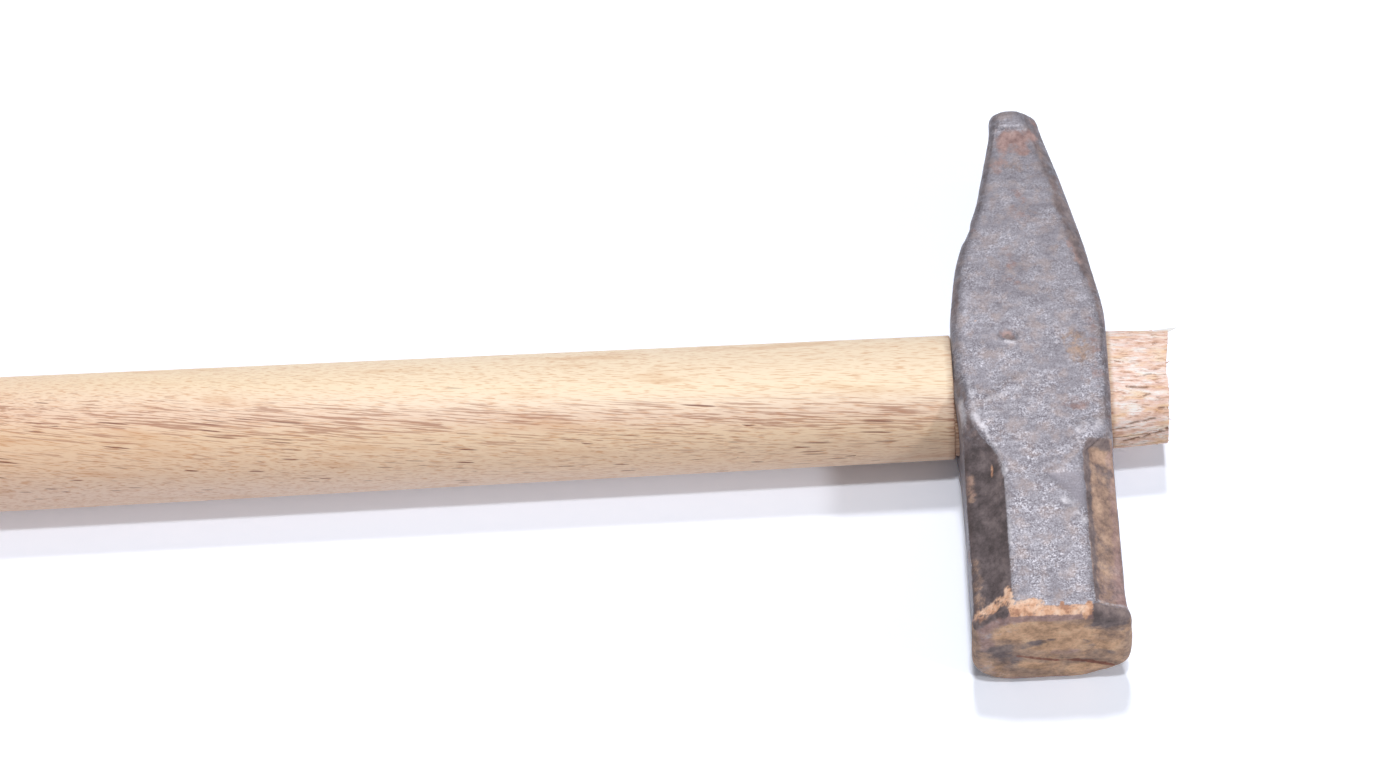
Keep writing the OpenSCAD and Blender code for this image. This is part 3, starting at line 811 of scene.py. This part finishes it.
def hardwood(name, ground, line_colour, pore_colour):
    """Pale open-pored hardwood, turned and sanded: a cream ground in growth bands that darkens from the
    back of the stick towards its underside, on the handle partly as painted shade, salmon fibre lines of
    about 10 mm by 0.3 mm, and dark pores where the bands run out on the surface."""
    material, add = new_material(name)
    place = add("TexCoord").node.outputs["Object"]
    along = add("SeparateXYZ", {"Vector": place})

    # The growth bands wander by about 1 mm, and leave the handle's axis by 1.5 degrees at the head
    # and 4 at the butt. The fibres leave it by 4 and 10
    straight_at = 140 * MM
    away = add("Math", [along, straight_at], operation="SUBTRACT")
    bow = add("Math", [away, away], operation="MULTIPLY")
    wander = add("TexNoise", {"Vector": place, "Scale": 22.0, "Detail": 1.0}).node.outputs["Color"]
    loose = add("VectorMath", [wander, (0, 0.0013, 0.0013), place], operation="MULTIPLY_ADD")
    leaning = []
    for slope in ((0, -0.065, -0.059), (0, -0.19, -0.11)):
        drift = add("VectorMath", {0: slope, "Scale": bow}, operation="SCALE")
        leaning.append(add("VectorMath", [loose, drift], operation="ADD"))
    ring, grain = leaning

    # Nearly flat bands cross the stick, from 0 at its back to 1 below. The ground colours given along them
    # darken towards the underside, on the handle partly as painted shade
    middle = (0, -2.2 * MM, (AXIS_Z - 2) * MM)
    across = (0, -0.64, -0.77)
    span = 28 * MM
    from_middle = add("VectorMath", [ring, middle], operation="SUBTRACT")
    distance = add("VectorMath", [from_middle, across], operation="DOT_PRODUCT")
    band = add("Math", [distance, 1 / span, 0.5], operation="MULTIPLY_ADD")
    crowding = [(0.05, 0.2), (0.24, 0.3), (0.31, 0.9), (0.42, 1.0), (0.55, 0.75), (0.75, 0.55), (0.92, 0.4)]
    ripening = [(0.1, 0.0), (0.28, 0.03), (0.38, 0.5), (0.55, 1.0), (0.8, 0.8), (0.95, 0.3)]
    colour, crowd, ripe = [add("ValToRGB", {"Fac": band}, row) for row in (ground, crowding, ripening)]

    # Soft clouds of 30 mm by 4 mm, fibre lines, finest fibres of 3 mm by 0.2 mm and tints of 7 mm by
    # 2.4 mm, and for chopped wood flakes of 4 mm by 1.4 mm and cracks of 2.4 mm by 0.4 mm: scale along
    # the fibres and across them, detail and roughness
    layers = []
    for length, width, detail, roughness in (
        (33, 260, 2, 0.5),
        (95, 3300, 3, 0.5),
        (330, 5200, 1, 0.5),
        (150, 420, 3, 0.5),
        (260, 720, 6, 0.7),
        (420, 2600, 5, 0.65),
    ):
        stretched = add("Mapping", {"Vector": grain, "Scale": (length, width, width)})
        sizes = {"Vector": stretched, "Scale": 1.0, "Detail": detail, "Roughness": roughness}
        layers.append(add("TexNoise", sizes))
    cloud, line, fine, tint, flake, crack = layers
    for layer, start, stain in ((cloud, 0.3, "#f3e8df"), (fine, 0.34, "#ead6c8")):
        shade = add("ValToRGB", {"Fac": layer}, [(start, stain), (start + 0.12, "#ffffff")])
        colour = add("Mix", {"Factor": 1.0, "A": colour, "B": shade}, **TIMES)
    thick = add("Math", [crowd, 0.15, line], operation="MULTIPLY_ADD")
    thick = add("Math", [cloud, 0.2, thick], operation="MULTIPLY_ADD")
    drawn = {"Value": thick, "From Min": 0.755, "From Max": 0.84, "To Max": 0.8}
    drawn = add("MapRange", drawn, interpolation_type="SMOOTHSTEP")
    lined = add("Math", [drawn, crowd], operation="MULTIPLY")

    # Open pores: long cells of 17 mm by 0.7 mm, each with a dark stroke in its middle if it has one
    cells = add("Mapping", {"Vector": grain, "Scale": (60, 1400, 1400)})
    cells = add("TexVoronoi", {"Vector": cells, "Scale": 1.0}).node.outputs
    lot = add("SeparateColor", {"Color": cells["Color"]}).node.outputs
    here = add("MapRange", {"Value": cloud, "From Min": 0.4, "From Max": 0.6})
    chance = add("Math", [ripe, here], operation="MULTIPLY")
    pore = add("Math", [lot["Red"], chance], operation="LESS_THAN")
    frayed = add("Math", [line, 0.3, cells["Distance"]], operation="MULTIPLY_ADD")
    inside = {"Value": frayed, "From Min": 0.42, "From Max": 0.32}
    core = add("MapRange", inside, interpolation_type="SMOOTHSTEP")
    depth = add("Math", [lot["Green"], 0.6, 0.4], operation="MULTIPLY_ADD")
    for share in (core, depth):
        pore = add("Math", [pore, share], operation="MULTIPLY")

    # The grip is painted darker towards the butt, a painted shade where the light falls off, and dirt in
    # the joint with the head reaches about 1 mm along the wood
    grip = add("MapRange", {"Value": along, "From Min": -0.12, "From Max": -0.21, "To Max": 0.6})
    joint = {"Value": along, "From Min": (SEAT_X - 1.6) * MM, "From Max": SEAT_X * MM}
    smudge = add("Math", [line, add("MapRange", joint)], operation="MULTIPLY")
    for share, over, way in (
        (lined, line_colour, MIX),
        (pore, pore_colour, MIX),
        (grip, "#f4e9e1", TIMES),
        (smudge, pore_colour, MIX),
    ):
        colour = add("Mix", {"Factor": share, "A": colour, "B": over}, **way)

    # Chopped wood is paler and rougher
    torn, check = [add("Attribute", attribute_name=m).node.outputs["Fac"] for m in ("torn", "check")]
    cut = [(0.33, "#d2a68f"), (0.42, "#f2cfbc"), (0.5, "#fee5db"), (0.59, "#fffbf9")]
    raw = add("ValToRGB", {"Fac": flake}, cut)
    for layer, start, end, most, over in (
        (tint, 0.5, 0.62, 0.5, "#f6cb90"),
        (line, 0.5, 0.62, 0.5, "#e9c0b6"),
        (crack, 0.53, 0.63, 0.72, line_colour),
    ):
        share = add("MapRange", {"Value": layer, "From Min": start, "From Max": end, "To Max": most})
        raw = add("Mix", {"Factor": share, "A": raw, "B": over}, **MIX)
    raw = add("Mix", {"Factor": check, "A": raw, "B": "#7b5640"}, **MIX)
    bare = add("Math", [torn, 0.9], operation="MULTIPLY")
    colour = add("Mix", {"Factor": bare, "A": colour, "B": raw}, **MIX)

    sunk = add("Math", [lined, 0.4, pore], operation="MULTIPLY_ADD")
    height = add("Math", [fine, sunk], operation="SUBTRACT")
    bump = add("Bump", {"Height": height, "Strength": 0.4, "Distance": 0.06 * MM})
    dull = add("MapRange", {"Value": torn, "To Min": 0.55, "To Max": 0.85})
    surface = {"Base Color": colour, "Roughness": dull, "Normal": bump, "Specular IOR Level": 0.3}
    add("OutputMaterial", {"Surface": add("BsdfPrincipled", surface)})
    return material


def wedge_steel():
    """Mild steel wedge, sheared from strip: bright grey with drawing lines and a bloom of rust."""
    material, add = new_material("mild_steel_strip")
    place = add("TexCoord").node.outputs["Object"]
    drawn = add("Mapping", {"Vector": place, "Scale": (300, 4000, 4000)})
    lines = add("TexNoise", {"Vector": drawn, "Scale": 1.0, "Detail": 3.0})
    bloom = add("TexNoise", {"Vector": place, "Scale": 600.0, "Detail": 5.0, "Roughness": 0.7})
    colour = add("ValToRGB", {"Fac": lines}, [(0.3, "#77747a"), (0.7, "#a5a2a8")])
    rust = add("MapRange", {"Value": bloom, "From Min": 0.52, "From Max": 0.66})
    colour = add("Mix", {"Factor": rust, "A": colour, "B": "#93695a"}, **MIX)
    metal = add("MapRange", {"Value": rust, "To Min": 0.85, "To Max": 0.1})
    gloss = add("MapRange", {"Value": rust, "To Min": 0.38, "To Max": 0.75})
    bump = add("Bump", {"Height": lines, "Strength": 0.4, "Distance": 0.05 * MM})
    surface = {"Base Color": colour, "Metallic": metal, "Roughness": gloss, "Normal": bump}
    add("OutputMaterial", {"Surface": add("BsdfPrincipled", surface)})
    return material


def make_handle(material, wedge_material):
    """The stick: turned handle, tenon and stub in one, slotted for its wedges, and the wooden wedge."""
    handle = add_object("turned_handle", bpy.data.meshes.new("turned_handle"))
    run_tree(handle, turned_handle(), {"Material": material})
    tenon = make_tenon()
    chop_stub(tenon.data)
    fibres = torn_fibres(tenon, material)
    tenon.data.materials.append(material)
    combine(handle, tenon, "UNION")

    plate = wedge_plate("wedge_plate", 0, False)
    kerf = wedge_plate("kerf_tool", CUT_GAP, True)
    slots = [slot_tool(node) for node in ("steel_wedge_1", "steel_wedge_2")]
    wedge = add_object("wedge_of_hardwood", plate.data.copy())
    wedge.data.materials.append(wedge_material)
    combine(wedge, tenon, "INTERSECT")
    for slot in slots:
        combine(wedge, slot, "DIFFERENCE")
        combine(handle, slot, "DIFFERENCE")
    combine(handle, kerf, "DIFFERENCE")
    for tool in (tenon, plate, kerf, *slots):
        bpy.data.objects.remove(tool)
    for thing, own in ((handle, material), (wedge, wedge_material)):
        thing.data.materials.clear()
        thing.data.materials.append(own)
        smooth_shading(thing, 45)
    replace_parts(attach(handle, "root"), "handle")
    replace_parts(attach(wedge, "root"), "wood_wedge")
    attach(fibres, "root")


def torn_fibres(tenon, material):
    """Fibres left by the saw near the end of the stub, and the sliver that it tore loose."""
    fibres = add_object("torn_fibres", tenon.data.copy())
    work = bmesh.new()
    work.from_mesh(fibres.data)
    low = (STUB_X - 2.6) * MM
    inner = [f for f in work.faces if f.calc_center_median().x < low or abs(f.normal.x) > 0.7]
    bmesh.ops.delete(work, geom=inner, context="FACES")
    work.to_mesh(fibres.data)
    work.free()
    run_tree(fibres, splinters(), {"Material": material})

    sides = 8
    turn = np.linspace(0, 2 * math.pi, sides, endpoint=False)
    across = np.stack([np.zeros(sides), np.cos(turn), 0.6 * np.sin(turn)], axis=1)
    start, stop = np.array(SLIVER)
    # Radius of the sliver along its length, in millimetres
    thins = [(share, 0.9 * (1.05 - share) ** 0.8) for share in np.linspace(0, 1, 7)]
    sliver = loft("sliver", [start + share * (stop - start) + radius * across for share, radius in thins])
    for piece, grime in ((fibres, 0.25), (sliver, 0.75)):
        weathered = np.ones(len(piece.data.vertices))
        set_mask(piece.data, "torn", weathered)
        set_mask(piece.data, "check", grime * weathered)
    work = bmesh.new()
    work.from_mesh(fibres.data)
    work.from_mesh(sliver.data)
    work.to_mesh(fibres.data)
    work.free()
    bpy.data.objects.remove(sliver)
    return fibres


def make_steel_wedge(name, node, seed, material):
    """A driven steel wedge: softened by its rolling, burred at the end that the hammer struck."""
    wedge = copy_node(name, node)
    mesh = remesh(wedge, WEDGE_VOXEL, 2)
    points, normals = get_surface(mesh)
    struck = ramp(STUB_X - 1.2, STUB_X - 0.1, points[:, 0])
    rise = 0.02 * rough(points, (1.2, 0.9, 0.9), 3, seed)
    rise += struck * (0.1 * rough(points, (1.5, 1.5, 1.5), 3, seed + 1) - 0.05)
    set_points(mesh, points + rise[:, None] * normals)
    mesh.materials.append(material)
    smooth_shading(wedge, 50)
    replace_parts(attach(wedge, "root"), node)


# Floor, light and camera

# Angles in degrees, places and lens in millimetres
CAMERA_TURN = 3.028
CAMERA_HEIGHT = 60
CAMERA_ROLL = -5.451
CAMERA_TARGET = (-66.42, 4.28, 14.0)
CAMERA_DISTANCE = 940.6
LENS = 120
SENSOR = 36

SUNS = {
    # name: turn from the +X axis and height above the floor in degrees, strength, width in degrees
    "lamp_behind": (90, 71, 1.18, 6),
    "lamp_in_front": (-90, 84, 1.02, 4),
    "lamp_at_the_right": (-28, 37.5, 0.79, 6),
}
SKY = 0.24
FLOOR_SHOWN = (1.09, 1.15, 1.29, 1)
FLOOR_BOUNCE = (0.9, 0.9, 0.9, 1)
FLOOR_REACH = 3.0


def seen_directly(add):
    """1 for what the camera sees, also in a mirror or through glass, and 0 for light on the object."""
    rays = add("LightPath").node.outputs
    seen = rays["Is Camera Ray"]
    for kind in ("Is Glossy Ray", "Is Transmission Ray"):
        seen = add("Math", [seen, rays[kind]], operation="MAXIMUM")
    return seen


def make_floor():
    """Plain white sheet, bright enough to show as white, that keeps the shadows."""
    material, add = new_material("white_floor")
    tint = add("Mix", {"Factor": seen_directly(add), "A": FLOOR_BOUNCE, "B": FLOOR_SHOWN}, **MIX)
    add("OutputMaterial", {"Surface": add("BsdfDiffuse", {"Color": tint})})
    mesh = bpy.data.meshes.new("floor")
    mesh.from_pydata([(FLOOR_REACH * a, FLOOR_REACH * b, 0) for a, b in SQUARE], [], [(0, 1, 2, 3)])
    mesh.materials.append(material)
    add_object("floor", mesh)


def direction(turn, height):
    """The way out at a turn from the +X axis and a height above the floor, in degrees."""
    turn, height = math.radians(turn), math.radians(height)
    return Vector((math.cos(turn) * math.cos(height), math.sin(turn) * math.cos(height), math.sin(height)))


def make_light():
    world = bpy.data.worlds.new("studio")
    bpy.context.scene.world = world
    world.use_nodes = True
    world.node_tree.nodes.clear()
    add = partial(add_node, world.node_tree)
    level = add("MapRange", {"Value": seen_directly(add), "To Min": SKY})
    add("OutputWorld", {"Surface": add("Background", {"Strength": level, "Color": "#ffffff"})})
    for name, (turn, height, strength, width) in SUNS.items():
        lamp = bpy.data.lights.new(name, "SUN")
        lamp.energy = strength
        lamp.angle = math.radians(width)
        add_object(name, lamp).rotation_euler = direction(turn, height).to_track_quat("Z", "Y").to_euler()


def make_camera():
    """A camera at the photograph's place, worked out from the outlines of the head and the handle."""
    roll = math.radians(CAMERA_ROLL)
    back = direction(CAMERA_TURN - 90, CAMERA_HEIGHT)
    side = Vector((0, 0, 1)).cross(back).normalized()
    over = back.cross(side)
    right = math.cos(roll) * side + math.sin(roll) * over
    up = math.cos(roll) * over - math.sin(roll) * side
    lens = bpy.data.cameras.new("camera")
    lens.lens = LENS
    lens.sensor_width = SENSOR
    camera = add_object("camera", lens)
    turned = Matrix((right, up, back)).transposed().to_4x4()
    place = Vector(CAMERA_TARGET) + back * CAMERA_DISTANCE
    camera.matrix_world = Matrix.Translation(place * MM) @ turned
    bpy.context.scene.camera = camera


make_camera()
make_floor()
make_light()
make_head(forged_steel())
# Ground of the handle from its back to its underside: grain tones, and partly painted shade that darkens
# the underside
pale_ground_and_shade = [
    (0.05, "#f4e0c6"), (0.2, "#fbe7ca"), (0.29, "#fae4cd"), (0.37, "#f2d7c1"),
    (0.5, "#eed2b4"), (0.74, "#e9ccb2"), (0.95, "#e7d0c2"),
]
wedge_ground = [(0.1, "#cda47e"), (0.5, "#c09672"), (0.9, "#b48a68")]
make_handle(
    hardwood("turned_hardwood", pale_ground_and_shade, "#b0826c", "#7a4a3c"),
    hardwood("wedge_hardwood", wedge_ground, "#8f6a52", "#4f352c"),
)
strip = wedge_steel()
make_steel_wedge("driven_wedge_1", "steel_wedge_1", 21, strip)
make_steel_wedge("driven_wedge_2", "steel_wedge_2", 31, strip)
bpy.context.scene.view_settings.view_transform = "Standard"
